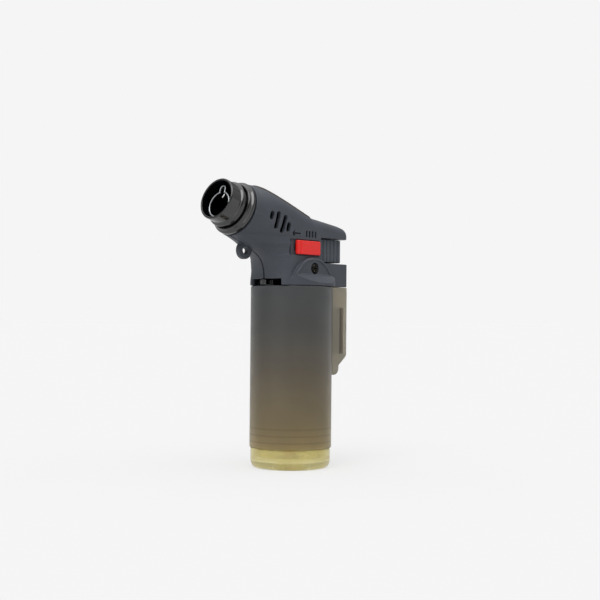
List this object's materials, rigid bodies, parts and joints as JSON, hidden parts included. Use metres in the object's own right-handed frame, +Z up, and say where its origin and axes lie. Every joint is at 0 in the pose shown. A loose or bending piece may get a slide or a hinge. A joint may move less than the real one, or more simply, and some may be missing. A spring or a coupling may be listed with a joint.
{
  "type": "butane torch",
  "caption": "Hand-held butane torch: round smoke-coloured tank with a clear foot and a pistol head with tilted nozzle, rear trigger, slide lock and flame adjuster.",
  "frame": {"origin": "middle of the object's footprint box, on the surface it stands on", "axes": "+Z up along the tank, -X the way the nozzle points (it also tilts up by 17.8 degrees), Y across, with the slide lock on the -Y side"},
  "size_m": [0.0768, 0.037, 0.1263],
  "materials": {
    "shell": "fine satin grain, charcoal",
    "strip": "satin, warm charcoal",
    "nozzle": "gloss black",
    "steel": "drawn steel",
    "screw": "black zinc plated",
    "brass": "turned brass",
    "ceramic": "glazed ceramic",
    "rubber": "matte black rubber",
    "hose": "amber polymer tube",
    "mechanism": "black acetal",
    "trigger": "satin charcoal, ribbed",
    "lock": "satin red",
    "smoke": "smoke-tinted frosted clear plastic",
    "clear": "clear plastic with a yellow tint"
  },
  "bodies": {
    "torch": {"head_shell_left": "shell", "head_shell_right": "shell", "top_strip": "strip", "nozzle_guard": "nozzle", "collar_ring": "nozzle", "burner_tube": "steel", "flame_holder": "brass", "mixer_tube": "brass", "gas_jet": "brass", "electrode_insulator": "ceramic", "electrode": "steel", "ignition_wire": "rubber", "gas_hose": "hose", "valve_body": "brass", "valve_spring": "steel", "valve_seal": "rubber", "dip_tube": "hose", "lever_pin": "steel", "piezo_body": "nozzle", "trigger_spring": "steel", "sleeve": "smoke", "tank": "clear", "tank_lid": "clear", "body_screw_left": "screw", "body_screw_right": "screw", "base_cap": "clear", "filler_body": "brass", "filler_spring": "steel", "filler_seal": "rubber"},
    "trigger": {"trigger": "trigger"},
    "plunger": {"piezo_plunger": "mechanism"},
    "lever": {"valve_lever": "mechanism"},
    "stem": {"valve_stem": "brass"},
    "adjuster": {"flame_adjuster": "nozzle"},
    "lock": {"slide_lock": "lock"},
    "filler": {"filler_stem": "brass"}
  },
  "joints": [
    {"name": "trigger_slide", "type": "slide", "parent": "torch", "child": "trigger", "axis": [-1, 0, 0], "range_m": [0, 0.005], "stiffness_N_per_m": 900},
    {"name": "plunger_slide", "type": "slide", "parent": "torch", "child": "plunger", "axis": [-1, 0, 0], "range_m": [0, 0.005], "stiffness_N_per_m": 100, "deforming": ["trigger_spring"]},
    {"name": "lever_pivot", "type": "hinge", "parent": "torch", "child": "lever", "pos_m": [0.01839, 0, 0.0876], "axis": [0, 1, 0], "range_deg": [0, 8.2]},
    {"name": "stem_slide", "type": "slide", "parent": "torch", "child": "stem", "axis": [0, 0, 1], "range_m": [0, 0.0009], "stiffness_N_per_m": 300, "deforming": ["valve_spring"]},
    {"name": "adjuster_turn", "type": "hinge", "parent": "torch", "child": "adjuster", "pos_m": [0.01239, 0, 0.083], "axis": [0, 0, 1], "range_deg": [-20, 20]},
    {"name": "lock_slide", "type": "slide", "parent": "torch", "child": "lock", "axis": [-1, 0, 0], "range_m": [0, 0.003]},
    {"name": "filler_slide", "type": "slide", "parent": "torch", "child": "filler", "axis": [0, 0, 1], "range_m": [0, 0.001], "stiffness_N_per_m": 400, "deforming": ["filler_spring"]}
  ],
  "couplings": [
    {"joint": "plunger_slide", "follows": "trigger_slide", "ratio": 1},
    {"joint": "lever_pivot", "follows": "trigger_slide", "rad_per_m": 28.4},
    {"joint": "stem_slide", "follows": "trigger_slide", "ratio": 0.17}
  ]
}
